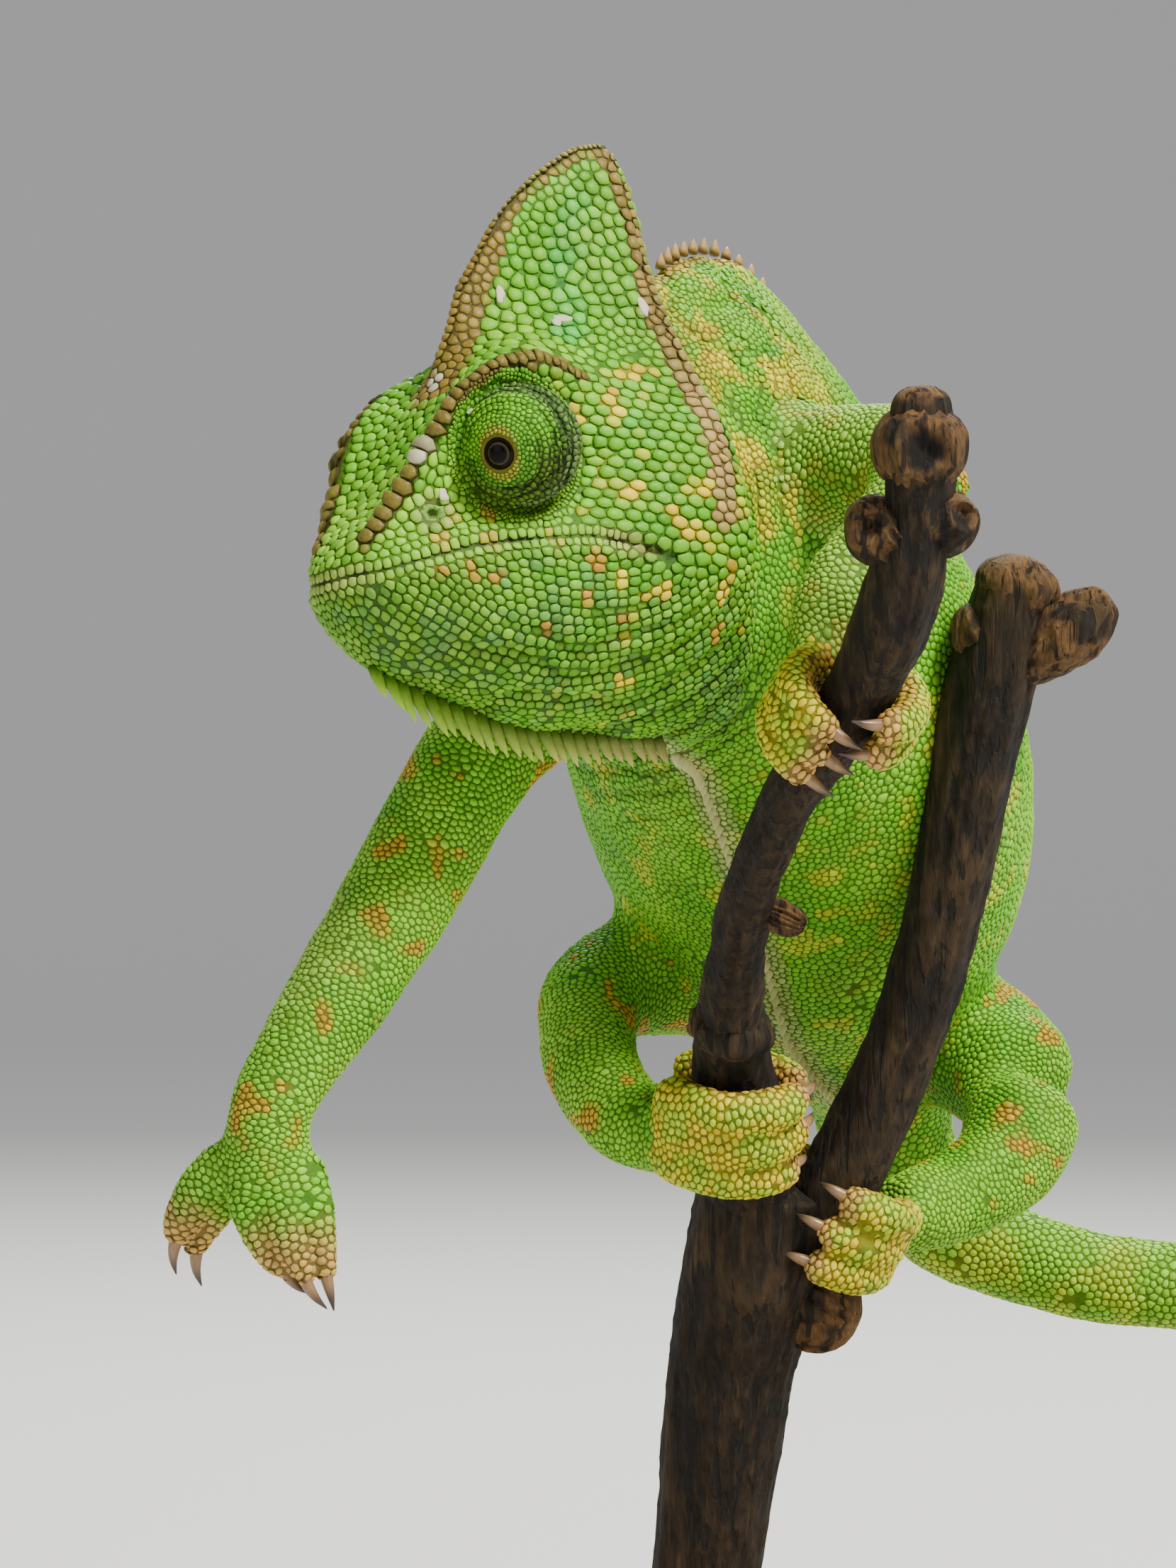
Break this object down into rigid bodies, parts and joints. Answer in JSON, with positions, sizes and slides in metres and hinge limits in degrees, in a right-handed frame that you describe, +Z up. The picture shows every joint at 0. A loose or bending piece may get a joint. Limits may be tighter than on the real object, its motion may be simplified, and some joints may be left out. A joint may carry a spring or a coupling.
{
  "type": "chameleon model",
  "caption": "Life-size still model of a veiled chameleon climbing a forked dry twig, one forefoot reaching into the air, on a round wooden display stand",
  "frame": {"origin": "middle of the underside of the stand's base", "axes": "+Z up; the picture's camera looks along +Y, and the animal's left side is towards +X"},
  "size_m": [0.1665, 0.152, 0.2075],
  "materials": {
    "skin": "satin scales",
    "eyelid": "satin scales",
    "eye": "wet gloss",
    "bark": "rough dry bark",
    "stand_wood": "satin varnish",
    "stand_metal": "satin black"
  },
  "bodies": {
    "root": {"head": "skin", "casque": "skin", "lower_jaw": "skin", "neck": "skin", "trunk": "skin", "tail_base": "skin", "tail_mid": "skin", "tail_curl": "skin", "upper_arm_fore_left": "skin", "forearm_fore_left": "skin", "hand_fore_left": "skin", "toes_inner_fore_left": "skin", "toes_outer_fore_left": "skin", "thigh_hind_left": "skin", "shin_hind_left": "skin", "foot_hind_left": "skin", "toes_inner_hind_left": "skin", "toes_outer_hind_left": "skin", "upper_arm_fore_right": "skin", "forearm_fore_right": "skin", "hand_fore_right": "skin", "toes_inner_fore_right": "skin", "toes_outer_fore_right": "skin", "thigh_hind_right": "skin", "shin_hind_right": "skin", "foot_hind_right": "skin", "toes_inner_hind_right": "skin", "toes_outer_hind_right": "skin", "eye_left": "eyelid", "eye_right": "eyelid", "eyeball_left": "eye", "eyeball_right": "eye", "perch_front": "bark", "perch_back": "bark", "perch_stem": "bark", "stand_base": "stand_wood", "stand_rod": "stand_metal"}
  },
  "joints": []
}
